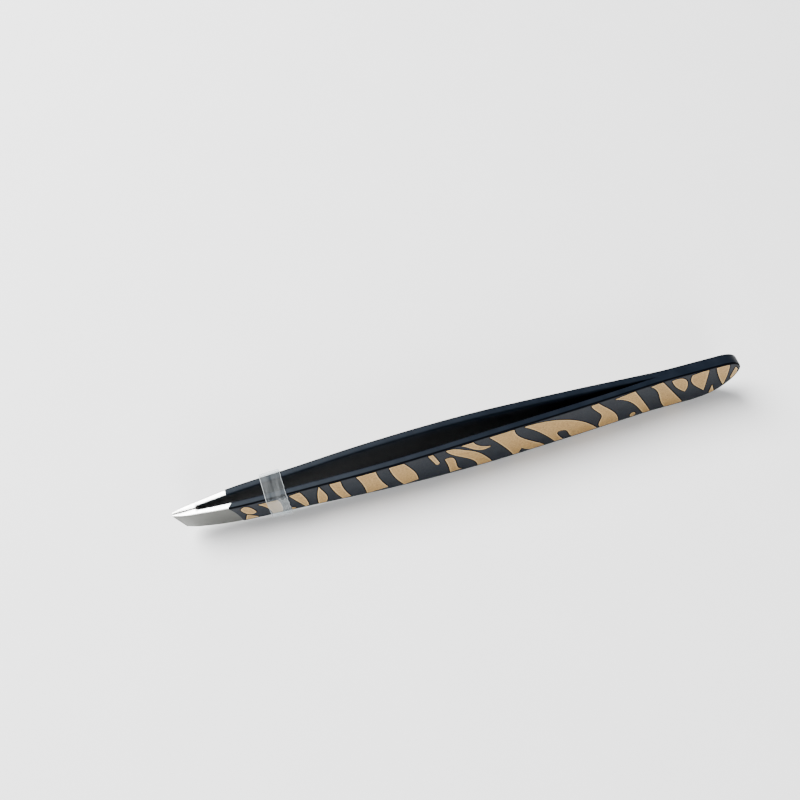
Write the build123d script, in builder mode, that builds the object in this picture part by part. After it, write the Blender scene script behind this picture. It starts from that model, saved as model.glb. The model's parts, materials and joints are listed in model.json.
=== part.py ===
"""Slant tweezers: two spring-steel arms, coated, printed, welded at the tail and held shut by a slip-on band.

Frame: X runs along the tweezers from the slanted tip (-X) to the rounded tail (+X), Y runs across the
two arms (near arm at -Y, far arm at +Y) and Z is up. The tweezers stand on their lower long edges and
the origin is on the surface they stand on, under the middle of their length. All sizes are millimetres.
"""
import os

from build123d import *

# --- driving dimensions -------------------------------------------------------------------------
LENGTH = 95.0               # tip to the end of the coated tail
HALF_FACE = 5.06            # half of the arm's face height at its widest, bare steel
STEEL = 0.95                # thickness of the arm strip
COAT = 0.06                 # lacquer film
EDGE_RADIUS = 0.20          # rounding of the outer long edges of the steel
ROUNDED_FROM = 2.5          # the slanted end edge, in front of this, stays sharp
FOIL = 0.05                 # printed foil standing proud of the lacquer

TIP_RISE, TIP_DROP = 2.20, 2.80     # from the middle of the height up and down to the tip's corners
SLANT_RUN = 1.25            # how far the lower corner of the slanted end lies behind the upper one
LAND_LENGTH = 3.6           # ground gripping faces inside the tip
LAND_GAP = 0.02             # from the middle plane to each gripping face
LAND_STEP = 0.34            # height of the step behind the gripping faces

HINGE = 79.0                # front of the weld, where the free blades begin to flex
JOINT_CLEARANCE = 0.04      # between a blade's round root and its seat
ROOT_INSET = 0.01           # of the round root from the strip's faces
ROOT_OVERLAP = 0.1          # of the root into its blade, so that they join
COAT_GAP = 0.10             # from the hinge line to the end of each blade's lacquer
TAIL_COAT_START = 79.6      # just behind the blades' roots
BARE_TIP = [(8.45, 2.8), (9.5, 0.0), (9.95, -3.0)]  # where the lacquer starts: distance, height over middle
BARE_INSIDE_END = 4.2       # between the arms the lacquer starts this far from the tip, behind the step
BARE_INSIDE_HEIGHT = 4.6    # of the inner lacquer in front of that curve

BAND_START, BAND_END = 14.05, 17.75
BAND_WALL = 0.35
BAND_CORNER = 0.12          # inside corner radius
BAND_FRONT_HALF_WIDTH = 2.17
BAND_REAR_HALF_WIDTH = 2.27
BAND_FRONT_HALF_HEIGHT = 2.94
BAND_REAR_HALF_HEIGHT = 3.13
BAND_DROP = 0.60            # how far the loose band hangs below the arms, inside

NUGGET_RADIUS = 1.9
NUGGET_DEPTH = 0.20         # into each arm
NUGGETS = (84.2, 90.2)      # places of the two spot welds

PRINT_INSET = 0.34          # printed stripes stop short of the face's rim

# --- derived sizes ------------------------------------------------------------------------------
TIP_X = -LENGTH / 2
MID_Z = HALF_FACE + COAT
STEEL_LENGTH = LENGTH - COAT
ROOT_RADIUS = STEEL / 2 - ROOT_INSET
AMPLE = 3 * HALF_FACE               # size of blocks that reach right across the tweezers
NEAR, FAR = -1, 1
SIDES = {"near": NEAR, "far": FAR}

# Plan of one arm, as (distance from the tip, distance from the middle plane) of its outer surface:
# it bends in steeply behind the tip, bows out along the blade and comes in to the weld.
BOW = [(0.0, 0.32), (1.3, 0.74), (3.4, 1.07), (9.0, 1.72), (12.0, 1.90), (18.5, 2.09), (27.0, 2.40)]
BOW += [(36.0, 2.57), (46.0, 2.46), (56.0, 2.15), (66.0, 1.74), (76.0, 1.21), (79.0, 1.05), (80.8, 0.98)]
BOW_END = (82.6, STEEL)
LEVEL_INNER = 4.0           # where the inner surface starts to follow the outer one
HINGE_OFFSET = dict(BOW)[HINGE] - STEEL / 2     # middle of the strip's thickness at the hinge

# Side outline of one arm's tapering part, as (distance from the tip, height above or below the middle).
TAPER_TOP = [(0.0, TIP_RISE), (10.5, 2.64), (18.5, 3.05), (27.0, 3.65), (36.0, 4.22), (45.0, 4.79)]
TAPER_BOTTOM = [(SLANT_RUN, TIP_DROP), (10.5, 3.00), (18.5, 3.24), (27.0, 3.68), (36.0, 4.22), (45.0, 4.79)]
TAPER_SLOPE = 0.03          # of both tapering edges at the tip
STRAIGHT_START = 54.5       # from here the arms keep their full height
STRAIGHT_TOP_END, STRAIGHT_BOTTOM_END = 91.0, 87.0

# The rounded tail, as (distance from the tip, height over the middle): full at the top, long at the bottom.
TAIL_TOP = [(93.05, 4.62), (94.3, 3.60)]
TAIL_BOTTOM = [(89.8, -4.80), (91.8, -4.10), (93.35, -2.75), (94.55, -0.60)]
TAIL_END_HEIGHT = 1.8
TAIL_CENTRE = (87.0, 0.0)   # the tail's outline grows away from here


def along(distance):
    """X of a point at a distance from the tip."""
    return TIP_X + distance


def bow_points(side, inset):
    """Points of an arm's outer surface, moved inwards by inset."""
    return [(along(s), side * (y - inset)) for s, y in BOW]


def plan_of_arm(side, grow, inner):
    """Wire of an arm's plan; inner is the distance of its flat inner face in the tail."""
    outer = bow_points(side, -grow)
    tail_outer = (along(BOW_END[0]), side * (STEEL + grow))
    end = along(STEEL_LENGTH + grow)
    inside = [point for point in bow_points(side, STEEL + grow) if point[0] > along(LEVEL_INNER)]
    land = side * (LAND_GAP - grow)
    step = (along(LEVEL_INNER), side * (LAND_GAP + LAND_STEP - grow))
    with BuildLine() as wire:
        Spline(*outer, tail_outer)
        tail_corners = [(end, side * (STEEL + grow)), (end, side * inner), (along(BOW_END[0]), side * inner)]
        Polyline(tail_outer, *tail_corners)
        Spline((along(BOW_END[0]), side * inner), *reversed(inside), step)
        Polyline(step, (along(LAND_LENGTH), land), (along(0), land), outer[0])
    return wire


def tail_points(outline, grow):
    """Points of the rounded tail in the XZ plane, moved outwards by grow."""
    points = []
    for distance, height in outline:
        out = Vector(distance - TAIL_CENTRE[0], height - TAIL_CENTRE[1]).normalized() * grow
        points.append((along(distance) + out.X, MID_Z + height + out.Y))
    return points


def side_outline(grow):
    """Wire of an arm's face outline in the XZ plane, with a slanted tip and a rounded tail."""
    top = [(along(s), MID_Z + rise + grow) for s, rise in TAPER_TOP]
    bottom = [(along(s), MID_Z - drop - grow) for s, drop in TAPER_BOTTOM]
    high, low = MID_Z + HALF_FACE + grow, MID_Z - HALF_FACE - grow
    start = along(STRAIGHT_START)
    top_stop, bottom_stop = (along(STRAIGHT_TOP_END), high), (along(STRAIGHT_BOTTOM_END), low)
    end = (along(STEEL_LENGTH) + grow, MID_Z + TAIL_END_HEIGHT)
    with BuildLine() as wire:
        Spline(*top, (start, high), tangents=[(1, TAPER_SLOPE), (1, 0)])
        Line((start, high), top_stop)
        for stop, outline, up in ((top_stop, TAIL_TOP, 1), (bottom_stop, TAIL_BOTTOM, -1)):
            rounding = [stop, *tail_points(outline, grow), end]
            Spline(*rounding, tangents=[(1, 0), (0, -up)], tangent_scalars=(1, 1))
        Line((start, low), bottom_stop)
        Spline(*bottom, (start, low), tangents=[(1, -TAPER_SLOPE), (1, 0)])
        Line(bottom[0], top[0])
    return wire


def arm(side, grow=0.0, inner=0.0):
    """One whole arm from tip to tail, grown all round, with its outer long edges rounded."""
    with BuildPart() as body:
        with BuildSketch(Plane.XY):
            add(plan_of_arm(side, grow, inner).line)
            make_face()
        extrude(amount=AMPLE)
        with BuildSketch(Plane.XZ):
            add(side_outline(grow).line)
            make_face()
        extrude(amount=AMPLE, both=True, mode=Mode.INTERSECT)
        outer_faces = body.faces().filter_by(lambda face: face.normal_at().Y * side > 0.9)
        rims = outer_faces.edges().filter_by(Axis.Z, reverse=True)
        fillet(rims.filter_by(lambda edge: edge.center().X > along(ROUNDED_FROM)), EDGE_RADIUS + grow)
    return body.part


def span(start, stop):
    """Block that covers both arms between two distances from the tip."""
    with BuildPart() as block:
        with BuildSketch(Plane.YZ.offset(along(start))):
            with Locations((0, MID_Z)):
                Rectangle(2 * AMPLE, 2 * AMPLE)
        extrude(amount=stop - start)
    return block.part


def root_cylinder(side, radius):
    """Upright cylinder about a blade's flexing line, at the middle of the strip's thickness."""
    with BuildPart() as cylinder:
        with BuildSketch(Plane.XY):
            with Locations((along(HINGE), side * HINGE_OFFSET)):
                Circle(radius)
        extrude(amount=AMPLE)
    return cylinder.part


def lacquer_region():
    """Everything behind the curved line where the bare tip ends, and between the arms behind the step."""
    curve = [(along(s), MID_Z + height) for s, height in BARE_TIP]
    low, high = MID_Z - AMPLE, MID_Z + AMPLE
    stop = along(HINGE - COAT_GAP)
    middle = [(s, y - STEEL / 2) for s, y in BOW if LAND_LENGTH < s < BAND_START]
    first_middle = middle[0][1] * BARE_INSIDE_END / middle[0][0]
    inside = [(BARE_INSIDE_END, 0), (BARE_INSIDE_END, first_middle)] + middle + [(middle[-1][0], 0)]
    with BuildPart() as region:
        with BuildSketch(Plane.XZ):
            with BuildLine():
                edge = Spline(*curve)
                corners = [(curve[-1][0], low), (stop, low), (stop, high), (curve[0][0], high)]
                Polyline(edge @ 1, *corners, edge @ 0)
            make_face()
        extrude(amount=AMPLE, both=True)
        with BuildSketch(Plane.XY.offset(MID_Z)):
            for side in SIDES.values():
                with BuildLine():
                    Polyline(*[(along(s), side * y) for s, y in inside], close=True)
                make_face()
        extrude(amount=BARE_INSIDE_HEIGHT / 2, both=True)
    return region.part


# --- printed stripes ----------------------------------------------------------------------------
# Outlines on an arm's outer face, as (distance from the tip, height over the middle of the face).
# Each outline is its first corner and then one run per side: the run's points end at the next corner,
# and a run of more than one point is a smooth curve.
STRIPES = [
    ((10.2, 1.5), [(10.9, 2.1), (11.8, 1.1), (12.3, -0.5)], [(11.6, -0.9), (10.6, 0.1), (10.2, 1.5)]),
    ((10.8, -0.9), [(12.4, -2.4)], [(10.4, -2.6)], [(10.8, -0.9)]),
    ((13.0, 1.9), [(16.0, 1.9)], [(16.4, -0.8), (16.2, -3.0)], [(14.7, -2.9)], [(14.2, 0.0), (13.0, 1.9)]),
    ((17.9, 2.35), [(19.5, 2.7)], [(20.1, 0.6), (20.5, -2.6)], [(20.0, -2.8)], [(18.9, -0.2), (17.9, 2.35)]),
    ((17.8, -2.1), [(18.4, -2.6)], [(17.8, -2.9)], [(17.8, -2.1)]),
    ((22.6, 3.1), [(23.2, 0.8), (23.5, -2.3), (23.1, -3.2)], [(22.1, -2.9)], [(22.2, 0.4), (22.6, 3.1)]),
    ((24.3, 3.1), [(26.0, 3.4)], [(26.3, 0.6), (27.3, -3.0)], [(26.0, -3.1)], [(25.0, -0.2), (24.3, 3.1)]),
    ((28.5, 3.6), [(31.6, 3.8)], [(32.2, 0.6), (33.5, -3.0)], [(30.0, -3.4)], [(29.6, -0.4), (28.5, 3.6)]),
    ((33.8, 4.0), [(36.0, 4.2)], [(37.0, 2.2), (38.1, -0.6), (38.6, -3.2)], [(36.2, -3.7)],
     [(34.9, -0.6), (33.8, 4.0)]),
    ((40.1, 4.3), [(40.8, 4.5)], [(41.5, 2.5), (42.1, 0.7)], [(41.8, 0.3), (41.5, 0.6)],
     [(40.9, 2.2), (40.1, 4.3)]),
    ((43.0, 1.3), [(43.8, 1.4), (44.9, -0.8), (46.1, -3.9)], [(44.1, -4.0)], [(43.7, -1.4), (43.0, 1.3)]),
    ((43.1, 4.3), [(44.2, 4.2), (46.0, 2.9), (47.6, 1.5), (49.6, -1.1), (51.4, -4.6)], [(48.9, -4.4)],
     [(47.7, -1.5), (45.0, 1.5), (43.1, 4.3)]),
    ((45.6, 4.5), [(47.5, 4.7)], [(48.6, 2.8), (50.7, 1.4)], [(49.9, 1.0), (47.3, 2.7), (45.6, 4.5)]),
    ((50.3, 4.6), [(54.4, 4.7)], [(55.4, 1.9), (57.8, -1.2), (60.8, -4.6)], [(58.8, -4.6), (56.5, -2.9)],
     [(56.1, -4.6)], [(55.3, -4.7)], [(53.9, -1.7), (50.3, 4.6)]),
    ((56.2, 4.6), [(60.6, 3.9), (63.7, 2.4), (67.4, -0.7), (70.4, -4.6)], [(66.1, -4.7)],
     [(64.9, -2.8), (63.8, -1.1), (62.9, -0.9), (62.7, -1.9)], [(63.3, -3.2), (64.1, -4.5)], [(62.6, -4.3)],
     [(60.6, -1.0), (58.4, 2.1), (56.2, 4.6)]),
    ((67.7, 4.6), [(68.9, 4.7)], [(71.2, 1.6), (73.2, -1.4), (74.3, -4.5)], [(71.1, -4.7)],
     [(70.5, -2.6), (70.6, -0.9), (69.4, 1.7), (67.7, 4.6)]),
    ((76.4, -3.8), [(76.9, -3.2), (77.4, -3.9), (77.1, -4.5), (76.4, -3.8)]),
    ((72.0, 4.2), [(75.3, 4.8)], [(77.5, 0.8), (80.3, -4.6)], [(79.1, -4.7)],
     [(77.2, -1.3), (75.2, 1.6), (72.0, 4.2)]),
    ((78.3, 4.5), [(80.3, 4.8)], [(82.6, 1.2), (86.2, -4.4)], [(83.1, -4.7)],
     [(81.5, -1.5), (80.3, 1.6), (78.3, 4.5)]),
    ((82.1, 4.3), [(83.7, 4.3), (85.5, 1.8), (85.7, -0.7)], [(84.4, 0.6), (82.1, 4.3)]),
    ((85.7, 4.4), [(88.4, 5.0)], [(88.9, 2.2), (89.6, -2.3)], [(87.8, -0.2), (86.0, 2.5), (85.7, 4.4)]),
    ((89.8, 4.9), [(92.1, 4.9)], [(92.8, 1.6), (93.1, -2.0)], [(91.5, 1.0), (89.8, 4.9)]),
    ((90.9, -1.2), [(91.9, -3.6)], [(91.1, -3.9)], [(90.9, -1.2)]),
    ((93.7, 3.4), [(94.3, 2.5)], [(94.5, 1.2)], [(94.1, -0.4)], [(93.8, 0.0)], [(93.7, 3.4)]),
]


def stripe_block(first, *runs):
    """Bar along Y with a stripe's outline."""
    with BuildPart() as block:
        with BuildSketch(Plane.XZ):
            with BuildLine():
                corner = (along(first[0]), MID_Z + first[1])
                for run in runs:
                    points = [(along(s), MID_Z + z) for s, z in run]
                    if len(points) > 1:
                        Spline(corner, *points)
                    else:
                        Line(corner, points[0])
                    corner = points[-1]
            make_face()
        extrude(amount=AMPLE, both=True)
    return block.part


def foil_layer(side):
    """Thin layer over one arm's outer face, inside the face's rim, that the stripes are cut from."""
    inside = bow_points(side, -COAT)
    outside = bow_points(side, -COAT - FOIL)
    end = along(STEEL_LENGTH)
    with BuildPart() as layer:
        with BuildSketch(Plane.XY):
            with BuildLine():
                low = (along(BOW_END[0]), side * (STEEL + COAT))
                high = (along(BOW_END[0]), side * (STEEL + COAT + FOIL))
                Spline(*inside, low)
                Spline(*outside, high)
                Polyline(low, (end, low[1]), (end, high[1]), high)
                Line(inside[0], outside[0])
            make_face()
        extrude(amount=AMPLE)
        with BuildSketch(Plane.XZ):
            add(side_outline(-PRINT_INSET).line)
            make_face()
        extrude(amount=AMPLE, both=True, mode=Mode.INTERSECT)
    return layer.part


# --- the band -----------------------------------------------------------------------------------
def band_section(distance, outside):
    """Half width, lowest and highest height of the band at a distance from the tip."""
    share = (distance - BAND_START) / (BAND_END - BAND_START)
    half_width = BAND_FRONT_HALF_WIDTH + share * (BAND_REAR_HALF_WIDTH - BAND_FRONT_HALF_WIDTH)
    half_height = BAND_FRONT_HALF_HEIGHT + share * (BAND_REAR_HALF_HEIGHT - BAND_FRONT_HALF_HEIGHT)
    return half_width + outside, -half_height - BAND_DROP - outside, half_height + outside


def band_solid(outside):
    """Tapering sleeve, solid through, its surface moved outwards by a distance."""
    with BuildPart() as sleeve:
        for distance in (BAND_START, BAND_END):
            half_width, low, high = band_section(distance, outside)
            with BuildSketch(Plane.YZ.offset(along(distance))):
                with Locations((0, MID_Z + (low + high) / 2)):
                    RectangleRounded(2 * half_width, high - low, BAND_CORNER + outside)
        loft()
    return sleeve.part


# --- putting solids together --------------------------------------------------------------------
def common(*solids):
    """The stretch that all the given solids share."""
    with BuildPart() as shared:
        add(solids[0])
        for solid in solids[1:]:
            add(solid, mode=Mode.INTERSECT)
    return shared.part


def joined(*solids):
    """Several solids as one part."""
    with BuildPart() as whole:
        for solid in solids:
            add(solid)
    return whole.part


def save(name, piece):
    """Label a finished piece and write it under its own name."""
    piece.label = name
    export_step(piece, f"parts/{name}.step")


# --- the sub-parts ------------------------------------------------------------------------------
os.makedirs("parts", exist_ok=True)

free_span = span(-AMPLE, HINGE)
tail_span = span(HINGE, LENGTH + AMPLE)
tail_coat_span = span(TAIL_COAT_START, LENGTH + AMPLE)
lacquered = lacquer_region()
stripe_blocks = joined(*[stripe_block(*stripe) for stripe in STRIPES])

with BuildPart() as spot_weld_nuggets:
    with BuildSketch(Plane.XZ):
        with Locations(*[(along(distance), MID_Z) for distance in NUGGETS]):
            Circle(NUGGET_RADIUS)
    extrude(amount=NUGGET_DEPTH, both=True)
save("spot_weld_nuggets", spot_weld_nuggets.part)

arms = {name: arm(side) for name, side in SIDES.items()}

for name, side in SIDES.items():
    steel = arms[name]
    root = common(steel, root_cylinder(side, ROOT_RADIUS), span(HINGE - ROOT_OVERLAP, HINGE + STEEL))
    seat = root_cylinder(side, ROOT_RADIUS + JOINT_CLEARANCE)
    grown = arm(side, COAT, inner=-COAT)
    stripes = common(foil_layer(side), stripe_blocks)

    with BuildPart() as blade:
        add(steel)
        add(free_span, mode=Mode.INTERSECT)
        add(root)
    save(f"{name}_arm_blade", blade.part)

    with BuildPart() as arm_tail:
        add(steel)
        add(tail_span, mode=Mode.INTERSECT)
        add(seat, mode=Mode.SUBTRACT)
        add(spot_weld_nuggets.part, mode=Mode.SUBTRACT)
    save(f"{name}_arm_tail", arm_tail.part)

    with BuildPart() as blade_coat:
        add(grown)
        add(lacquered, mode=Mode.INTERSECT)
        add(steel, mode=Mode.SUBTRACT)
    save(f"{name}_blade_coat", blade_coat.part)

    with BuildPart() as blade_print:
        add(stripes)
        add(span(-AMPLE, HINGE - FOIL), mode=Mode.INTERSECT)
    save(f"{name}_blade_print", blade_print.part)

    with BuildPart() as tail_print:
        add(stripes)
        add(tail_span, mode=Mode.INTERSECT)
    save(f"{name}_tail_print", tail_print.part)

with BuildPart() as tail_coat:
    for side in SIDES.values():
        add(arm(side, COAT, inner=0.0))
    with BuildSketch(Plane.YZ.offset(along(TAIL_COAT_START))):
        with Locations((0, MID_Z)):
            Rectangle(STEEL, 2 * (HALF_FACE + COAT))
    extrude(amount=BOW_END[0] - TAIL_COAT_START)
    add(tail_coat_span, mode=Mode.INTERSECT)
    for steel in arms.values():
        add(steel, mode=Mode.SUBTRACT)
    add(spot_weld_nuggets.part, mode=Mode.SUBTRACT)
save("tail_coat", tail_coat.part)

with BuildPart() as tip_band:
    add(band_solid(BAND_WALL))
    add(band_solid(0), mode=Mode.SUBTRACT)
save("tip_band", tip_band.part)
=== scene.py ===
"""Looks of the slant tweezers: smooth steel strips, their lacquer, the foil stripes and the soft band.

Lengths are millimetres in the sections that shape the pieces, and metres where Blender needs them.
X runs from the slanted tip to the tail, Y across the two arms and Z up, as in the CAD frame.
"""

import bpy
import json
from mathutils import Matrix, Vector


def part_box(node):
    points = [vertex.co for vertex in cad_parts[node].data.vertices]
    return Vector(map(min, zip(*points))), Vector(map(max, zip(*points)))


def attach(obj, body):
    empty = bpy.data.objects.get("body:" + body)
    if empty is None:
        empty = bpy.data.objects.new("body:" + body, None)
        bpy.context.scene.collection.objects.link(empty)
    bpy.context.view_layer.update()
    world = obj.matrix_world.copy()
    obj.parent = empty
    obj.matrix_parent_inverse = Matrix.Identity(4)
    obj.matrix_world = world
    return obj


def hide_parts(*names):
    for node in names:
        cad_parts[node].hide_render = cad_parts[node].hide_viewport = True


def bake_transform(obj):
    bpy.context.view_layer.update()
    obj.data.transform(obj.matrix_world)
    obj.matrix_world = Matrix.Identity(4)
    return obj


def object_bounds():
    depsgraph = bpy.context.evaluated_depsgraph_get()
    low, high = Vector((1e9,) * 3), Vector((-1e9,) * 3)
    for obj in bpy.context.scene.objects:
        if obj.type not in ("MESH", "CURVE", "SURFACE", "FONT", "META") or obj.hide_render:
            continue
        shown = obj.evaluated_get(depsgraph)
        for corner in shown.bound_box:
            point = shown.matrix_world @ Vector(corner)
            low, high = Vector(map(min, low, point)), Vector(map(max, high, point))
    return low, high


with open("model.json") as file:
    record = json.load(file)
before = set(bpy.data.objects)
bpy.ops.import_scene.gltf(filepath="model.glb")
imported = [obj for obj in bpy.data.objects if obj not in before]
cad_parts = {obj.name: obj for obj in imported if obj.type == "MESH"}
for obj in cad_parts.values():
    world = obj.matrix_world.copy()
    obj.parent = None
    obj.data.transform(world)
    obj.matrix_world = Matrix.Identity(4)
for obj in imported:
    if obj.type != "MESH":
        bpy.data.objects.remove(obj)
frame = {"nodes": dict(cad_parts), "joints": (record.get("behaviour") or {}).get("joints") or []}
CAD_BOX = [list(corner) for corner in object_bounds()]

import json
import math

import bmesh
import bpy
import numpy as np
from mathutils import Matrix, Vector
from mathutils.bvhtree import BVHTree
from mathutils.kdtree import KDTree

MM = 0.001
SIDES = {"near": -1, "far": 1}

# --- driving dimensions, in millimetres ----------------------------------------------------------
LENGTH = (CAD_BOX[1][0] - CAD_BOX[0][0]) / MM
TIP_X = CAD_BOX[0][0] / MM
MID_Z = (CAD_BOX[0][2] + CAD_BOX[1][2]) / 2 / MM
HINGE = frame["joints"][0]["pos_m"][0] / MM - TIP_X     # from the tip to the front of the weld
COAT = 0.06                  # lacquer film
FOIL = 0.05                  # printed foil over the lacquer
FOIL_LIFT = 0.4              # the stripes stop this far above the face's lower edge
SLANT_RUN = 1.25             # how far the lower corner of the slanted end lies behind the upper one
SLANT_FADE = 7.0             # length over which the slant fades out along the arm
LAND_LENGTH = 3.6            # ground gripping faces inside the tip
LAND_GAP = 0.06              # from the middle plane to each gripping face
STEP_LENGTH = 0.35           # slope behind the gripping faces
OUTER_ROUND = 0.20           # rounding of the outer long edges
INNER_ROUND = 0.09           # rounding of the inner long edges
BARE_EDGE = (8.5, 9.5, 9.95)     # where the lacquer starts along the top, the middle and the bottom
BARE_SKEW = {"near": 0.6, "far": 0.0}    # how much further back it starts on the inner edge
BARE_INSIDE = (4.1, 12.0)    # between the arms the lacquer goes on forward, up to the step
FILM_SHARE = 0.9             # that inner film stands this share of its thickness proud of the steel
TAIL_START = 86.0            # where the tail begins to round
TAIL_END_HEIGHT = 1.8        # height of the tail's last point over the middle
WELD_NEAR = (74.0, 4.0)      # the inner edges' rounding ends from here on, over this length
THIN = 0.9                   # where an arm is thinner than this its rounding shrinks with it
BARE_FADE = 6.0              # length over which the lacquer's rings straighten
RING_STEP = 0.22             # spacing of the rings along an arm
FACE_STEPS = 44              # steps up an arm's outer face
INNER_STEPS = 12             # steps up its inner face
HALO = 0.24                  # width of the dark line round a stripe
EDGE_SHADE_WIDTH = 0.34             # width of the painted shade along the face's edge, for the shadowed floor its rounding reflects
EDGE_SHADE_STRENGTH = 0.8          # strength of that painted shade beside that of the dark line round a stripe
RIM = 0.22                   # width of the light line inside a stripe


def smoothstep(t):
    """Smooth rise from 0 to 1."""
    t = np.clip(t, 0, 1)
    return t * t * (3 - 2 * t)


# --- profiles read from the CAD solids -----------------------------------------------------------
def solid_tree(*names):
    """Search tree over the meshes of some CAD nodes."""
    points, faces = [], []
    for name in names:
        mesh = frame["nodes"][name].data
        start = len(points)
        points += [v.co.copy() for v in mesh.vertices]
        faces += [[start + i for i in p.vertices] for p in mesh.polygons]
    return BVHTree.FromPolygons(points, faces)


def cast(tree, origin, direction):
    """Where a ray from a point, in millimetres, meets a solid."""
    hit = tree.ray_cast(Vector(origin) * MM, Vector(direction))[0]
    return hit / MM


def natural_spline(xs, ys, fine):
    """Values of the smooth curve through some points."""
    xs, ys = np.array(xs, float), np.array(ys, float)
    h = np.diff(xs)
    n = len(xs)
    a = np.eye(n)
    b = np.zeros(n)
    for i in range(1, n - 1):
        a[i, i - 1:i + 2] = h[i - 1], 2 * (h[i - 1] + h[i]), h[i]
        b[i] = 6 * ((ys[i + 1] - ys[i]) / h[i] - (ys[i] - ys[i - 1]) / h[i - 1])
    bend = np.linalg.solve(a, b)
    i = np.clip(np.searchsorted(xs, fine) - 1, 0, n - 2)
    t, u = fine - xs[i], xs[i + 1] - fine
    smooth = (bend[i] * u ** 3 + bend[i + 1] * t ** 3) / (6 * h[i])
    left, right = ys[i] / h[i] - bend[i] * h[i] / 6, ys[i + 1] / h[i] - bend[i + 1] * h[i] / 6
    return smooth + left * u + right * t


class Profile:
    """Bare steel of one arm: its surfaces against distance from the tip, and its face's outline."""

    OUTER_AT = [0.1, 1.3, 3.4, 6, 9, 12, 16, 21, 27, 33, 39, 45, 51, 57, 63, 69, 74, 77, 80.8, 83]
    INNER_AT = [4.1, 5, 6.5, 9, 12, 16, 21, 27, 33, 39, 45, 51, 57, 63, 69, 74, 78, 81.5]
    EDGE_AT = [1.6, 5, 9, 13, 18, 23, 29, 35, 41, 47, 52, 56, 62, 72, 82, TAIL_START]
    FLAT_FROM = 82.6         # behind this the arm is flat
    FLAT_AT = 90             # a place on the flat tail
    READ_ABOVE = 1.9         # the surfaces are read this far above the middle
    CLEAR = 20               # rays start this far out
    EDGE_STEP = 0.05         # spacing of the outline's points
    TAIL_TURNS = 80          # points round each half of the tail's end
    FINE = np.linspace(0, LENGTH, 4000)

    def __init__(self):
        self.tree = solid_tree("near_arm_blade", "near_arm_tail")
        outer = [self.surface(s, 1) for s in self.OUTER_AT]
        self.thickness = self.surface(self.FLAT_AT, 1)
        reach = np.clip(self.FINE, self.OUTER_AT[0], self.OUTER_AT[-1])
        self.outer_table = natural_spline(self.OUTER_AT, outer, reach)
        self.outer_table[self.FINE > self.FLAT_FROM] = self.thickness
        inner = [self.surface(s, -1) for s in self.INNER_AT]
        reach = np.clip(self.FINE, self.INNER_AT[0], self.INNER_AT[-1])
        self.inner_table = natural_spline(self.INNER_AT, inner, reach)
        self.upper, self.lower = self.edge(1), self.edge(-1)

    def surface(self, s, out):
        """Distance from the middle plane to the arm's outer (1) or inner (-1) surface."""
        origin = (TIP_X + s, -out * self.CLEAR, MID_Z + self.READ_ABOVE)
        return -cast(self.tree, origin, (0, out, 0)).y

    def edge(self, up):
        """Points of the upper or lower edge, as (distance, height), from the tip to the tail's end."""
        heights = []
        for s in self.EDGE_AT:
            middle = self.outer(np.array(s)) - self.thickness / 2
            origin = (TIP_X + s, -middle, MID_Z + up * 2 * self.CLEAR)
            heights.append(cast(self.tree, origin, (0, 0, -up)).z - MID_Z)
        body = np.arange(0, TAIL_START, self.EDGE_STEP)
        line = natural_spline(self.EDGE_AT, heights, np.maximum(body, self.EDGE_AT[0]))
        points = list(zip(body, line))
        centre = (TIP_X + TAIL_START, -self.thickness / 2, MID_Z + TAIL_END_HEIGHT)
        for turn in np.linspace(math.pi / 2, 0, self.TAIL_TURNS):
            hit = cast(self.tree, centre, (math.cos(turn), 0, up * math.sin(turn)))
            points.append((hit.x - TIP_X, hit.z - MID_Z))
        return np.array(points)

    def outer(self, s):
        """Outer surface."""
        return np.interp(s, self.FINE, self.outer_table)

    def inner(self, s):
        """Inner surface: gripping face, step, the bowed strip, and the middle plane past the weld."""
        behind = np.maximum(np.interp(s, self.FINE, self.inner_table), 0)
        step = np.clip((s - LAND_LENGTH) / STEP_LENGTH, 0, 1)
        return np.maximum(LAND_GAP + (behind - LAND_GAP) * step, 0) * (s < self.FLAT_FROM)


steel = Profile()


class Face:
    """Outline of an arm's face, grown all round."""

    def __init__(self, grow):
        self.upper = self.moved(steel.upper, grow)
        self.lower = self.moved(steel.lower, -grow)
        self.upper[-1] = self.lower[-1] = steel.upper[-1] + (grow, 0)
        self.end = self.upper[-1, 0]
        tail = [edge[edge[:, 0] > TAIL_START - 2] for edge in (self.upper, self.lower)]
        self.line = np.concatenate([tail[0], tail[1][::-1]])

    @staticmethod
    def moved(points, amount):
        """A line of points moved sideways."""
        along = np.gradient(points, axis=0)
        along /= np.linalg.norm(along, axis=1)[:, None]
        return points + np.stack([-along[:, 1], along[:, 0]], -1) * amount

    def high(self, s):
        """Height of the upper edge over the middle."""
        return np.interp(s, *self.upper.T)

    def low(self, s):
        """Height of the lower edge."""
        return np.interp(s, *self.lower.T)

    def rim_distance(self, s, z):
        """Distance in the face's plane from points to the outline."""
        distance = np.minimum(self.high(s) - z, z - self.low(s))
        behind = s > TAIL_START - 1
        if behind.any():
            start, step = self.line[:-1], np.diff(self.line, axis=0)
            offset = np.stack([s[behind], z[behind]], -1)[:, None] - start
            share = np.clip((offset * step).sum(-1) / np.maximum((step ** 2).sum(-1), 1e-12), 0, 1)
            distance[behind] = np.linalg.norm(offset - share[..., None] * step, axis=-1).min(1)
        return np.maximum(distance, 0)


# --- meshes from rings of points -----------------------------------------------------------------
SHARP, BAND_SHARP = 40, 80   # degrees: edges that turn more than this are sharp


def between_rings(bands, count, around):
    """Four-sided faces between rings of points, each with the next."""
    faces = []
    for i in range(bands):
        a, b = i * around, (i + 1) % count * around
        faces += [(a + j, a + (j + 1) % around, b + (j + 1) % around, b + j) for j in range(around)]
    return faces


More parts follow.
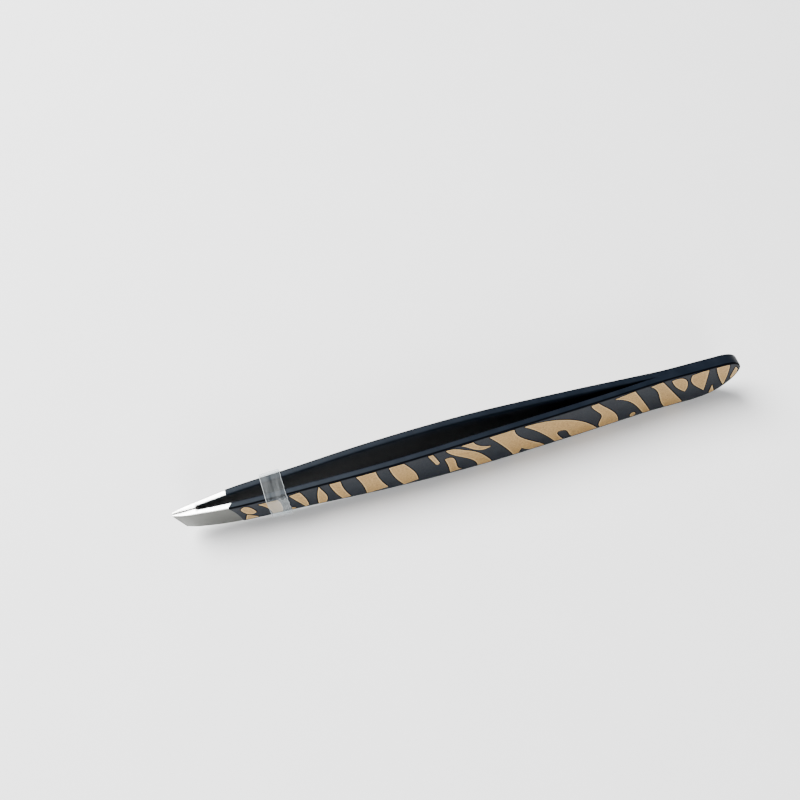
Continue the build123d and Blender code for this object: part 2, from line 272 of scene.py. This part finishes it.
def ring_mesh(name, rings):
    """Closed mesh through rings of points, in millimetres, with a cap at each end."""
    count, around = rings.shape[:2]
    mesh = bpy.data.meshes.new(name)
    faces = between_rings(count - 1, count, around)
    faces.append(tuple(reversed(range(around))))
    faces.append(tuple(range((count - 1) * around, count * around)))
    mesh.from_pydata((rings.reshape(-1, 3) * MM).tolist(), [], faces)
    return finish_mesh(name, mesh, SHARP)


def finish_mesh(name, mesh, smooth_angle):
    """Object from a mesh: faces point outwards, and only real edges are sharp."""
    b = bmesh.new()
    b.from_mesh(mesh)
    bmesh.ops.remove_doubles(b, verts=b.verts, dist=1e-7)
    bmesh.ops.recalc_face_normals(b, faces=b.faces)
    limit = math.radians(smooth_angle)
    for face in b.faces:
        face.smooth = True
    for edge in b.edges:
        edge.smooth = edge.is_manifold and edge.calc_face_angle(0) < limit
    b.to_mesh(mesh)
    b.free()
    piece = bpy.data.objects.new(name, mesh)
    bpy.context.scene.collection.objects.link(piece)
    return piece


def round_drop(distance, radius):
    """How far a rounded edge falls at a distance from the rim."""
    inside = np.clip(radius - distance, 0, radius)
    return radius - np.sqrt(np.maximum(radius ** 2 - inside ** 2, 0))


def arm_rings(side, stations, place, grow):
    """Rings round one arm, its surface grown; place gives a ring's distances from the tip."""
    turns = np.linspace(0, math.pi / 2, 7)
    face = Face(grow)
    sides = ((OUTER_ROUND + grow, turns, FACE_STEPS, 1),
             (INNER_ROUND + grow, turns[::2], INNER_STEPS, -1))
    rings = []
    for station in stations:
        size = float(face.high(station) - face.low(station)) / 2
        points = []
        for radius, steps, count, out in sides:
            rounded = radius * (1 - np.cos(steps)) * min(1, size / (4 * radius))
            share = 1 - np.minimum(rounded / max(size, 1e-6), 1)
            flat = np.linspace(-share[-1], share[-1], count + 1)
            up = out * np.concatenate([-share[:-1], flat, share[:-1][::-1]])
            s = np.minimum(place(station, up, out), face.end)
            z = (face.high(s) + face.low(s)) / 2 + up * (face.high(s) - face.low(s)) / 2
            drop = round_drop(face.rim_distance(s, z), radius)
            if out == 1:
                along = station if station < SLANT_FADE else s
                y = steel.outer(along) + grow - drop * np.minimum(1, steel.outer(along) / THIN)
            else:
                y = np.maximum(steel.inner(s) - grow, 0) + drop * inner_rounding(s)
            points.append(np.stack([TIP_X + s, side * y, MID_Z + z], -1))
        rings.append(np.concatenate(points))
    return np.array(rings)


def inner_rounding(s):
    """How much the inner edges are rounded: a little at the tip, not at all at the weld."""
    start, length = WELD_NEAR
    return (1 - smoothstep((s - start) / length)) * (0.6 + 0.4 * smoothstep((s - 1.0) / 3))


def slanted(station, up, out):
    """Distances from the tip of a steel ring, sheared near the slanted end."""
    fade = 1 - smoothstep(station / SLANT_FADE)
    return station + SLANT_RUN * fade * (1 - up) / 2


def from_bare_edge(skew):
    """Placing of the lacquer's rings: curved like the lacquer's front edge at first."""
    top, middle, bottom = BARE_EDGE

    def place(station, up, out):
        edge = middle + (top - bottom) / 2 * up + ((top + bottom) / 2 - middle) * up ** 2
        fade = 1 - smoothstep((station - middle) / BARE_FADE)
        return station + (edge - middle + (skew if out < 0 else 0)) * fade

    return place


def tail_stations(start, step, grow):
    """Ring places from a start to the tail's grown end, closer together there."""
    turn = np.linspace(0, math.pi / 2, 50)
    end = steel.upper[-1, 0] + grow
    tail = TAIL_START + (end - TAIL_START) * np.sin(turn)
    return np.concatenate([np.arange(start, TAIL_START, step), tail])


TIP_END = 6                  # the steel's rings are close together up to here
TIP_STEP, BODY_STEP = 0.18, 0.6


def steel_strip(name, side):
    """One arm's steel strip from the slanted tip to the tail."""
    step = np.linspace(LAND_LENGTH, LAND_LENGTH + STEP_LENGTH, 4)
    tip = np.sort(np.concatenate([[0, 0.06], np.arange(0.2, TIP_END, TIP_STEP), step]))
    stations = np.concatenate([tip, tail_stations(TIP_END, BODY_STEP, 0)])
    return ring_mesh(f"{name}_steel_strip", arm_rings(side, stations, slanted, 0))


def slab_ring(s, z, front, back):
    """Ring round a thin upright slab: up its front and down its back."""
    up = np.stack([np.full_like(z, TIP_X + s), np.full_like(z, front), MID_Z + z], -1)
    down = up[::-1].copy()
    down[:, 1] = back
    return np.concatenate([up, down])


def lacquer_skin(name, side):
    """The lacquer round one arm, and the film left inside the bare tip, up to the step."""
    place = from_bare_edge(BARE_SKEW[name])
    stations = tail_stations(BARE_EDGE[1], RING_STEP, COAT)
    skin = ring_mesh(f"{name}_lacquer", arm_rings(side, stations, place, COAT))
    face = Face(-COAT)
    rings = []
    for s in np.arange(*BARE_INSIDE, 0.2):
        z = np.linspace(face.low(s), face.high(s), INNER_STEPS)
        inner = float(steel.inner(np.array(s)))
        rings.append(slab_ring(s, z, side * (inner - FILM_SHARE * COAT), side * (inner + COAT)))
    film = ring_mesh("film", np.array(rings))
    merged = bmesh.new()
    for part in (skin, film):
        merged.from_mesh(part.data)
    merged.to_mesh(skin.data)
    merged.free()
    bpy.data.objects.remove(film)
    return skin


# --- foil stripes --------------------------------------------------------------------------------
FOIL_START = 9.6             # just in front of the first stripe
FOIL_INSET = 0.1             # the layer the stripes are cut from stays this far inside the face
FOIL_STEPS = 46              # points up that layer
CUTTER_DEPTH = 0.6           # how far the cutting stripes reach to each side
SAME_POINT = 0.012           # print corners closer than this are one
OUTLINE_STEP = 0.06          # spacing of the points along the outlines
FRONT = 0.8                  # least share of a front face's direction that points outwards


def stripe_faces(name, side):
    """Front faces of the CAD stripes of one arm, as one flat-lying bmesh."""
    b = bmesh.new()
    for node in (f"{name}_blade_print", f"{name}_tail_print"):
        b.from_mesh(frame["nodes"][node].data)
    bmesh.ops.remove_doubles(b, verts=b.verts, dist=SAME_POINT * MM)
    b.normal_update()
    hidden = [f for f in b.faces if f.normal.y * side < FRONT]
    bmesh.ops.delete(b, geom=hidden, context="FACES")
    return b


def outline_tree(name, side):
    """Search tree over points along the stripes' outlines, laid flat in the XZ plane."""
    b = stripe_faces(name, side)
    points = []
    for edge in b.edges:
        start, end = edge.verts[0].co, edge.verts[1].co
        on_split = max(abs(p.x / MM - TIP_X - HINGE) for p in (start, end)) < 2 * FOIL
        if edge.is_boundary and not on_split:
            steps = max(1, int((end - start).length / (OUTLINE_STEP * MM)))
            points += [start.lerp(end, i / steps) for i in range(steps)]
    b.free()
    tree = KDTree(len(points))
    for i, p in enumerate(points):
        tree.insert((p.x, 0, p.z), i)
    tree.balance()
    return tree


def mark_distance(piece, tree, attribute, width, shade_width=0.0):
    """Stores on each outer point how close it is to a stripe's outline, or to the face's edge, where
    the closeness paints shade.
    """
    values = []
    edge = Face(COAT)
    for vertex in piece.data.vertices:
        x, y, z = vertex.co
        outside = abs(y) / MM > steel.outer(x / MM - TIP_X) - 0.75 * OUTER_ROUND
        close = 1 - tree.find((x, 0, z))[2] / (width * MM)
        if shade_width:
            here = np.array([x / MM - TIP_X]), np.array([z / MM - MID_Z])
            # painted shade along the face's edge, for the shadowed floor that the rounded edge
            # reflects
            close = max(close, EDGE_SHADE_STRENGTH * (1 - edge.rim_distance(*here)[0] / shade_width))
        values.append(max(0.0, close) if outside else 0.0)
    layer = piece.data.attributes.new(attribute, "FLOAT", "POINT")
    layer.data.foreach_set("value", np.array(values, np.float32))


def stripe_cutter(name, side):
    """Upright prisms over the stripes of one arm."""
    b = stripe_faces(name, side)
    depth = Vector((0, CUTTER_DEPTH * MM * side, 0))
    result = bmesh.ops.extrude_face_region(b, geom=list(b.faces))
    moved = [v for v in result["geom"] if isinstance(v, bmesh.types.BMVert)]
    still = set(b.verts) - set(moved)
    bmesh.ops.translate(b, verts=moved, vec=depth)
    bmesh.ops.translate(b, verts=list(still), vec=-depth)
    bmesh.ops.recalc_face_normals(b, faces=b.faces)
    mesh = bpy.data.meshes.new("cutter")
    b.to_mesh(mesh)
    b.free()
    cutter = bpy.data.objects.new("cutter", mesh)
    bpy.context.scene.collection.objects.link(cutter)
    return cutter


def foil_stripes(name, side):
    """The printed stripes of one arm, cut out of a thin layer that follows the face."""
    cutter = stripe_cutter(name, side)
    rings = []
    face = Face(-FOIL_INSET)
    for s in np.arange(FOIL_START, face.end, RING_STEP):
        up = np.linspace(-1, 1, FOIL_STEPS)
        low = face.low(s) + FOIL_LIFT
        z = (face.high(s) + low) / 2 + up * (face.high(s) - low) / 2
        y = steel.outer(np.array(s)) + COAT
        rings.append(slab_ring(s, z, side * (y + FOIL), side * (y - COAT / 2)))
    piece = ring_mesh(f"{name}_foil_stripes", np.array(rings))
    cut = piece.modifiers.new("cut", "BOOLEAN")
    cut.operation = "INTERSECT"
    cut.solver = "EXACT"
    cut.object = cutter
    graph = bpy.context.evaluated_depsgraph_get()
    mesh = bpy.data.meshes.new_from_object(piece.evaluated_get(graph))
    piece_name = piece.name
    bpy.data.objects.remove(piece)
    bpy.data.objects.remove(cutter)
    return finish_mesh(piece_name, mesh, SHARP)


# --- the band ------------------------------------------------------------------------------------
BAND_WALL = 0.30             # thickness of its wall
BAND_AROUND = 160            # steps round the band
BAND_CORNER = 0.34           # its rounded corners
BAND_TAPER_Y, BAND_TAPER_Z = 0.10, 0.19     # how much narrower and lower its front end is
BAND_SKEW = 0.22             # it sits a little askew: the top further forward than the bottom
# uneven wall and uneven rear rim: height, waves round the band, and how they shift along it
BAND_DENTS = ((0.03, 3, 4), (0.015, 9, 2))
RIM_WAVES = ((0.03, 11, 5), (0.02, 23, 0))


def rounded_rectangle(half_width, low, high, corner):
    """Evenly spaced points of a rounded rectangle in the YZ plane."""
    points = []
    centres = [(half_width - corner, high - corner), (corner - half_width, high - corner),
               (corner - half_width, low + corner), (half_width - corner, low + corner)]
    for quarter, (y, z) in enumerate(centres):
        for turn in np.linspace(0, math.pi / 2, 9) + quarter * math.pi / 2:
            points.append((y + corner * math.cos(turn), z + corner * math.sin(turn)))
    points = np.array(points + points[:1])
    steps = np.linalg.norm(np.diff(points, axis=0), axis=1)
    lengths = np.concatenate([[0], np.cumsum(steps)])
    even = np.linspace(0, lengths[-1], BAND_AROUND + 1)[:-1]
    return np.stack([np.interp(even, lengths, points[:, k]) for k in (0, 1)], -1)


def wall_section(length):
    """Section of the band's wall, all round, as (distance along X, distance from its inside)."""
    radius = BAND_WALL / 2
    section = []
    for centre, start in ((radius, math.pi * 1.5), (length - radius, math.pi / 2)):
        for turn in np.linspace(0, math.pi, 9):
            angle = start - turn
            section.append((centre + radius * math.cos(angle), radius + radius * math.sin(angle)))
        path = np.linspace(radius, length - radius, 9)[1:-1]
        on_outside = centre == radius
        section += [(x, BAND_WALL) for x in path] if on_outside else [(x, 0.0) for x in path[::-1]]
    return section


def waves(kinds, around, share):
    """Sum of sine waves round the band."""
    return sum(height * np.sin(count * around + shift * share) for height, count, shift in kinds)


def soft_band():
    """The soft sleeve: a thin wall with rounded rims, a little uneven and askew."""
    low, high = (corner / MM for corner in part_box("tip_band"))
    length = high.x - low.x - 2 * BAND_SKEW
    section = wall_section(length)
    angles = np.linspace(0, 2 * math.pi, BAND_AROUND, endpoint=False)
    rings = []
    for x, wall in section:
        share = x / length
        inset_y = BAND_WALL + BAND_TAPER_Y * (1 - share)
        inset_z = BAND_WALL + BAND_TAPER_Z * (1 - share)
        loop = rounded_rectangle(high.y - inset_y, low.z + inset_z, high.z - inset_z, BAND_CORNER)
        run = np.roll(loop, -1, 0) - np.roll(loop, 1, 0)
        normal = np.stack([run[:, 1], -run[:, 0]], -1) / np.linalg.norm(run, axis=1)[:, None]
        dents = np.minimum(waves(BAND_DENTS, angles, share), 0) * (wall > 0)
        askew = -(loop[:, 0] / high.y + (loop[:, 1] - MID_Z) / (high.z - MID_Z)) / 2
        loop = loop + normal * (wall + dents)[:, None]
        uneven = waves(RIM_WAVES, angles, share) * share
        along = low.x + BAND_SKEW + x + BAND_SKEW * askew + uneven
        rings.append(np.stack([along, loop[:, 0], loop[:, 1]], -1))
    rings = np.array(rings)
    count, around = rings.shape[:2]
    mesh = bpy.data.meshes.new("soft_band")
    faces = between_rings(count, count, around)
    mesh.from_pydata((rings.reshape(-1, 3) * MM).tolist(), [], faces)
    on_rim = [min(x, length - x) < BAND_WALL / 5 for x, wall in section]
    rim = mesh.attributes.new("rim", "FLOAT", "POINT")
    rim.data.foreach_set("value", np.repeat(np.array(on_rim, np.float32), around))
    return finish_mesh("soft_band", mesh, BAND_SHARP)


# --- materials -----------------------------------------------------------------------------------
def new_material(name):
    """Empty node material, its shader and a helper that adds nodes to it."""
    material = bpy.data.materials.new(name)
    material.use_nodes = True
    tree = material.node_tree
    shader = next(n for n in tree.nodes if n.type == "BSDF_PRINCIPLED")

    def node(kind, **values):
        made = tree.nodes.new(kind)
        for key, value in values.items():
            if key in made.inputs:
                made.inputs[key].default_value = value
            else:
                setattr(made, key, value)
        return made

    return material, tree.links.new, node, shader


def scaled_noise(node, link, scale, detail=6.0, rough=0.6, stretch=(1, 1, 1)):
    """Noise over the object's own coordinates, stretched along an axis where wanted."""
    place = node("ShaderNodeTexCoord")
    mapping = node("ShaderNodeMapping", Scale=stretch)
    noise = node("ShaderNodeTexNoise", Scale=scale, Detail=detail, Roughness=rough)
    link(place.outputs["Object"], mapping.inputs["Vector"])
    link(mapping.outputs["Vector"], noise.inputs["Vector"])
    return noise.outputs["Fac"]


def ramp(node, link, source, low, high, colours):
    """Colour ramp over a value."""
    made = node("ShaderNodeValToRGB")
    for element, position, colour in zip(made.color_ramp.elements, (low, high), colours):
        element.position = position
        element.color = (*colour, 1)
    link(source, made.inputs["Fac"])
    return made.outputs["Color"]


def spread(node, link, source, low, high, to_low, to_high):
    """Value mapped from one range to another."""
    made = node("ShaderNodeMapRange")
    made.inputs["From Min"].default_value = low
    made.inputs["From Max"].default_value = high
    made.inputs["To Min"].default_value = to_low
    made.inputs["To Max"].default_value = to_high
    link(source, made.inputs["Value"])
    return made.outputs["Result"]


def mixed(node, link, factor, first, second):
    """Mix of two colours by a value."""
    made = node("ShaderNodeMix", data_type="RGBA")
    link(factor, made.inputs["Factor"])
    for value, socket in ((first, made.inputs[6]), (second, made.inputs[7])):
        if isinstance(value, tuple):
            socket.default_value = (*value, 1)
        else:
            link(value, socket)
    return made.outputs[2]


def bump(node, link, source, shader, distance, strength):
    """Fine relief from a value."""
    made = node("ShaderNodeBump", Distance=distance, Strength=strength)
    link(source, made.inputs["Height"])
    link(made.outputs["Normal"], shader.inputs["Normal"])


def steel_material():
    """Ground steel: satin with fine lines across the faces; the top and bottom edges, which lie level,
    get a light polished colour, partly real polish and partly a painted highlight from the light
    overhead.
    """
    material, link, node, shader = new_material("ground_steel")
    lines = scaled_noise(node, link, 2600, 8, 0.7, (1, 0.2, 0.06))
    strokes = scaled_noise(node, link, 2600, 8, 0.7, (0.06, 1, 1))
    clouds = scaled_noise(node, link, 260, 4, 0.5)
    normal = node("ShaderNodeNewGeometry")
    parts = node("ShaderNodeSeparateXYZ")
    link(normal.outputs["Normal"], parts.inputs[0])
    upright = node("ShaderNodeMath", operation="ABSOLUTE")
    link(parts.outputs["Z"], upright.inputs[0])
    # share of level face: it brings the light colour, partly real polish and partly a painted
    # highlight from the light overhead
    edge = spread(node, link, upright.outputs[0], 0.6, 0.95, 0, 1)
    satin = ramp(node, link, lines, 0.3, 0.7, ((0.062, 0.064, 0.057), (0.115, 0.117, 0.106)))
    cloudy = mixed(node, link, clouds, satin, (0.085, 0.087, 0.078))
    # light colour of the level faces: polished steel, brightened further as a painted highlight
    polished_and_highlight = ramp(node, link, strokes, 0.3, 0.7, ((0.66, 0.66, 0.63), (0.95, 0.95, 0.93)))
    link(mixed(node, link, edge, cloudy, polished_and_highlight), shader.inputs["Base Color"])
    shader.inputs["Metallic"].default_value = 1
    rough = node("ShaderNodeMath", operation="MULTIPLY_ADD")
    link(edge, rough.inputs[0])
    rough.inputs[1].default_value = -0.12
    link(spread(node, link, lines, 0.3, 0.7, 0.36, 0.48), rough.inputs[2])
    link(rough.outputs[0], shader.inputs["Roughness"])
    bump(node, link, lines, shader, 0.000012, 0.35)
    return material


def lacquer_material():
    """Satin charcoal lacquer: faint mottle, fine grain, darker beside the foil, and painted shade
    along the face's edge for the shadowed floor its rounding reflects.
    """
    material, link, node, shader = new_material("charcoal_lacquer")
    clouds = scaled_noise(node, link, 420, 5, 0.55)
    grain = scaled_noise(node, link, 5200, 4, 0.6)
    base = ramp(node, link, clouds, 0.35, 0.65, ((0.003, 0.005, 0.009), (0.0055, 0.008, 0.013)))
    halo = node("ShaderNodeAttribute", attribute_name="halo")
    # mask of the dark line round the stripes and of the painted shade along the face's edge
    foil_line_and_edge_shade = spread(node, link, halo.outputs["Fac"], 0.05, 0.55, 0, 1)
    link(mixed(node, link, foil_line_and_edge_shade, base, (0.0006, 0.0008, 0.0014)), shader.inputs["Base Color"])
    link(spread(node, link, foil_line_and_edge_shade, 0, 1, 0.085, 0.01), shader.inputs["Specular IOR Level"])
    link(spread(node, link, grain, 0.3, 0.7, 0.36, 0.50), shader.inputs["Roughness"])
    shader.inputs["Specular Tint"].default_value = (0.84, 0.93, 1.0, 1)
    bump(node, link, grain, shader, 0.000010, 0.4)
    return material


def foil_material():
    """Matte gold foil: fine mottle and dark specks, a lighter rim."""
    material, link, node, shader = new_material("gold_foil")
    mottle = scaled_noise(node, link, 3000, 8, 0.8)
    specks = scaled_noise(node, link, 5000, 3, 0.6)
    base = ramp(node, link, mottle, 0.40, 0.60, ((0.22, 0.125, 0.038), (0.42, 0.26, 0.09)))
    speck = spread(node, link, specks, 0.34, 0.41, 0.8, 0)
    dusty = mixed(node, link, speck, base, (0.10, 0.055, 0.02))
    rim = node("ShaderNodeAttribute", attribute_name="rim")
    at_rim = spread(node, link, rim.outputs["Fac"], 0.2, 0.9, 0, 0.75)
    link(mixed(node, link, at_rim, dusty, (0.66, 0.46, 0.22)), shader.inputs["Base Color"])
    shader.inputs["Metallic"].default_value = 0.3
    shader.inputs["Specular IOR Level"].default_value = 0.3
    link(spread(node, link, mottle, 0.3, 0.7, 0.45, 0.62), shader.inputs["Roughness"])
    bump(node, link, mottle, shader, 0.00001, 0.3)
    return material


def band_material():
    """Milky see-through plastic: hazier where the wall is seen edge on, with faint draw lines."""
    material, link, node, shader = new_material("translucent_plastic")
    lines = scaled_noise(node, link, 900, 4, 0.55, (1.2, 0.12, 0.12))
    clouds = scaled_noise(node, link, 500, 3, 0.5)
    milky = ramp(node, link, clouds, 0.3, 0.7, ((0.66, 0.70, 0.71), (0.80, 0.83, 0.84)))
    link(milky, shader.inputs["Base Color"])
    link(spread(node, link, lines, 0.3, 0.7, 0.20, 0.38), shader.inputs["Roughness"])
    bump(node, link, lines, shader, 0.00003, 0.5)
    clear = node("ShaderNodeBsdfTransparent")
    clear.inputs["Color"].default_value = (0.90, 0.92, 0.93, 1)
    edge_on = node("ShaderNodeLayerWeight", Blend=0.35)
    haze = spread(node, link, edge_on.outputs["Facing"], 0.35, 0.98, 0.022, 0.6)
    rim = node("ShaderNodeAttribute", attribute_name="rim")
    rim_haze = spread(node, link, rim.outputs["Fac"], 0, 1, 0, 0.5)
    hazy = node("ShaderNodeMath", operation="MAXIMUM")
    link(haze, hazy.inputs[0])
    link(rim_haze, hazy.inputs[1])
    streaks = spread(node, link, lines, 0.35, 0.65, -0.012, 0.03)
    total = node("ShaderNodeMath", operation="ADD", use_clamp=True)
    link(hazy.outputs[0], total.inputs[0])
    link(streaks, total.inputs[1])
    blend = node("ShaderNodeMixShader")
    link(total.outputs[0], blend.inputs[0])
    link(clear.outputs[0], blend.inputs[1])
    link(shader.outputs[0], blend.inputs[2])
    output = next(n for n in material.node_tree.nodes if n.type == "OUTPUT_MATERIAL")
    link(blend.outputs[0], output.inputs["Surface"])
    return material


def weld_material():
    """Fused steel of the spot welds: dull, blotched."""
    material, link, node, shader = new_material("spot_weld")
    blotch = scaled_noise(node, link, 900, 5, 0.6)
    dull = ramp(node, link, blotch, 0.3, 0.7, ((0.16, 0.15, 0.15), (0.34, 0.33, 0.33)))
    link(dull, shader.inputs["Base Color"])
    shader.inputs["Metallic"].default_value = 1
    link(spread(node, link, blotch, 0.3, 0.7, 0.4, 0.65), shader.inputs["Roughness"])
    return material


def floor_material():
    """Plain pale floor with a hardly visible grain."""
    material, link, node, shader = new_material("pale_floor")
    grain = scaled_noise(node, link, 60, 4, 0.5)
    pale = ramp(node, link, grain, 0.3, 0.7, ((0.86, 0.86, 0.86), (0.88, 0.88, 0.88)))
    link(pale, shader.inputs["Base Color"])
    shader.inputs["Roughness"].default_value = 0.9
    return material


# --- putting the pieces on the frame -------------------------------------------------------------
def paint(piece, material):
    """Gives a piece one material."""
    piece.data.materials.clear()
    piece.data.materials.append(material)


def flexes(piece, name, slot, *nodes):
    """A piece of one arm: hides the CAD nodes it replaces and bakes its placing into its mesh."""
    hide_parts(*nodes)
    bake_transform(piece)


ground_steel = steel_material()
charcoal = lacquer_material()
gold = foil_material()
clear_plastic = band_material()

for arm_name, arm_side in SIDES.items():
    strip = steel_strip(arm_name, arm_side)
    paint(strip, ground_steel)
    flexes(strip, arm_name, "steel", f"{arm_name}_arm_blade", f"{arm_name}_arm_tail")

    outlines = outline_tree(arm_name, arm_side)
    skin = lacquer_skin(arm_name, arm_side)
    # halo: dark line round the stripes, and painted shade along the face's edge
    mark_distance(skin, outlines, "halo", HALO, EDGE_SHADE_WIDTH)
    paint(skin, charcoal)
    flexes(skin, arm_name, "lacquer", f"{arm_name}_blade_coat", "tail_coat")

    stripes = foil_stripes(arm_name, arm_side)
    mark_distance(stripes, outlines, "rim", RIM)
    paint(stripes, gold)
    flexes(stripes, arm_name, "foil", f"{arm_name}_blade_print", f"{arm_name}_tail_print")

band = soft_band()
paint(band, clear_plastic)
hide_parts("tip_band")
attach(band, "band")

paint(frame["nodes"]["spot_weld_nuggets"], weld_material())


# --- floor, light and camera, in metres ----------------------------------------------------------
FLOOR_REACH = 3.0
WORLD_COLOUR, WORLD_STRENGTH = (0.93, 0.96, 1.0), 0.25
CAMERA_TURN, CAMERA_RISE, CAMERA_ROLL = -15.35, 60.90, -1.06     # degrees
CAMERA_AIM = Vector((-8.12, 10.54, 5.12)) * MM                    # the point it looks at
CAMERA_DISTANCE = 149.7 * MM
CAMERA_LENS, CAMERA_SENSOR = 40.5, 36                             # millimetres


def make_floor():
    """The plain pale floor under the tweezers."""
    mesh = bpy.data.meshes.new("floor")
    corners = [(x * FLOOR_REACH, y * FLOOR_REACH, 0) for x, y in ((-1, -1), (1, -1), (1, 1), (-1, 1))]
    mesh.from_pydata(corners, [], [(0, 1, 2, 3)])
    floor = bpy.data.objects.new("floor", mesh)
    bpy.context.scene.collection.objects.link(floor)
    paint(floor, floor_material())


def area_light(name, place, target, size, watts):
    """A round soft light that looks at a point."""
    data = bpy.data.lights.new(name, "AREA")
    data.shape = "DISK"
    data.size = size
    data.energy = watts
    light = bpy.data.objects.new(name, data)
    light.location = place
    light.rotation_mode = "QUATERNION"
    light.rotation_quaternion = (Vector(target) - Vector(place)).to_track_quat("-Z", "Y")
    bpy.context.scene.collection.objects.link(light)


def make_world():
    """Soft light from all round."""
    world = bpy.data.worlds.new("studio")
    world.use_nodes = True
    background = next(n for n in world.node_tree.nodes if n.type == "BACKGROUND")
    background.inputs["Color"].default_value = (*WORLD_COLOUR, 1)
    background.inputs["Strength"].default_value = WORLD_STRENGTH
    bpy.context.scene.world = world


def make_camera():
    """The camera, above and in front of the near arm."""
    data = bpy.data.cameras.new("camera")
    data.lens = CAMERA_LENS
    data.sensor_width = CAMERA_SENSOR
    data.clip_start, data.clip_end = 0.01, 20
    camera = bpy.data.objects.new("camera", data)
    turn, rise = math.radians(CAMERA_TURN), math.radians(CAMERA_RISE)
    level_part = math.cos(rise)
    back = Vector((math.sin(turn) * level_part, -math.cos(turn) * level_part, math.sin(rise)))
    camera.location = CAMERA_AIM + back * CAMERA_DISTANCE
    camera.rotation_mode = "QUATERNION"
    roll = Matrix.Rotation(math.radians(CAMERA_ROLL), 3, "Z").to_quaternion()
    camera.rotation_quaternion = (-back).to_track_quat("-Z", "Y") @ roll
    bpy.context.scene.collection.objects.link(camera)
    bpy.context.scene.camera = camera


make_floor()
make_world()
area_light("back_softbox", (-0.38, 0.32, 0.62), (-0.05, 0.0, 0), 0.62, 26)
area_light("front_fill", (-0.15, -0.85, 0.42), (0, 0, 0), 0.5, 9)
make_camera()
